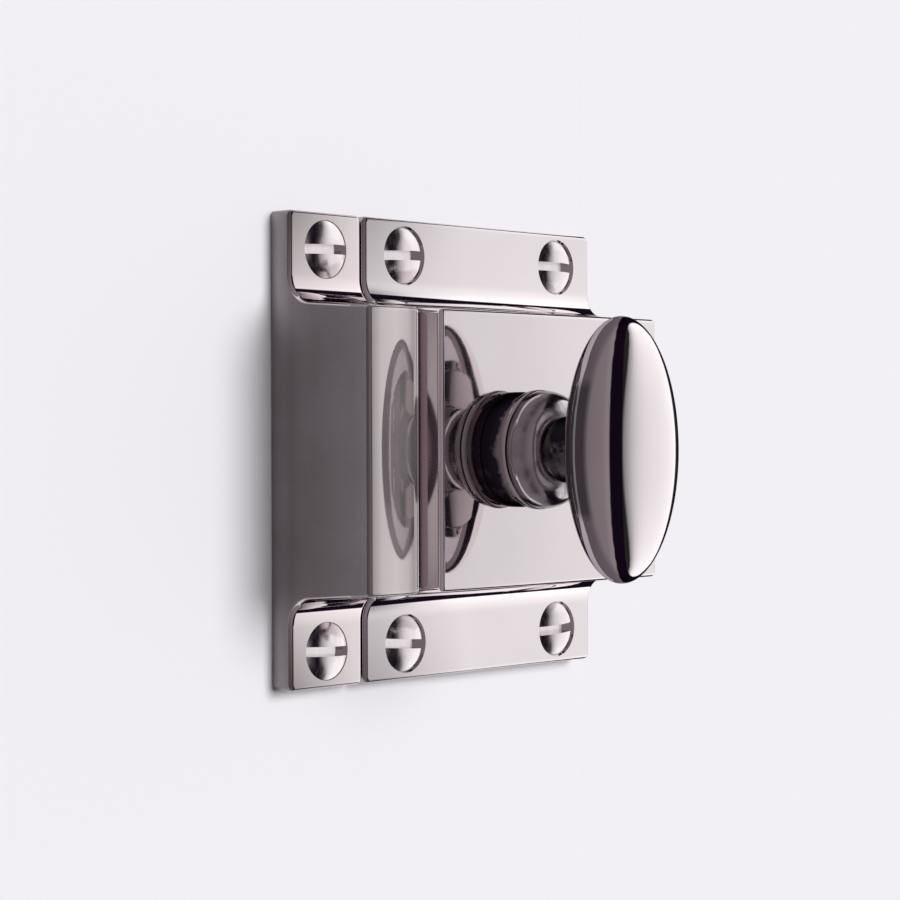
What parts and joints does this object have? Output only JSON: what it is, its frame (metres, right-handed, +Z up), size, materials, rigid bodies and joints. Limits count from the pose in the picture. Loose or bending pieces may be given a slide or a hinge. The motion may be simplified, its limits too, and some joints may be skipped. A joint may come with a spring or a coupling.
{
  "type": "cupboard latch",
  "caption": "Surface-mounted cupboard latch: a cast case with a turning oval knob and sliding bolt, and a cast strike with a curved ramp.",
  "frame": {"origin": "centre of the latch case's four screws, on the mounting plane", "axes": "+Z up along the latch's height, -Y outward from the mounting plane, +X from the strike towards the case"},
  "size_m": [0.0568, 0.0495, 0.057],
  "materials": {
    "nickel_casting": "polished nickel plate",
    "nickel_knob": "polished nickel plate",
    "nickel_screw": "polished nickel plate",
    "bolt_steel": "ground",
    "plate_steel": "rolled sheet, zinc plated",
    "small_steel": "plain",
    "spring_steel": "drawn wire"
  },
  "bodies": {
    "case": {"latch_case": "nickel_casting", "back_plate": "plate_steel", "back_plate_screws": "small_steel", "case_screws": "nickel_screw", "strike": "nickel_casting", "strike_screws": "nickel_screw", "bolt_spring": "spring_steel"},
    "knob": {"knob": "nickel_knob", "knob_washer": "small_steel", "cam": "small_steel", "cam_screw": "small_steel"},
    "bolt": {"bolt": "bolt_steel"}
  },
  "joints": [
    {"name": "knob_turn", "type": "hinge", "parent": "case", "child": "knob", "pos_m": [-0.008, 0, 0], "axis": [0, 1, 0], "range_deg": [0, 45]},
    {"name": "bolt_slide", "type": "slide", "parent": "case", "child": "bolt", "axis": [1, 0, 0], "range_m": [0, 0.0057], "stiffness_N_per_m": 500, "springref_m": -0.006, "deforming": ["bolt_spring"]}
  ],
  "couplings": [
    {"joint": "knob_turn", "follows": "bolt_slide", "rad_per_m": 137.74}
  ]
}
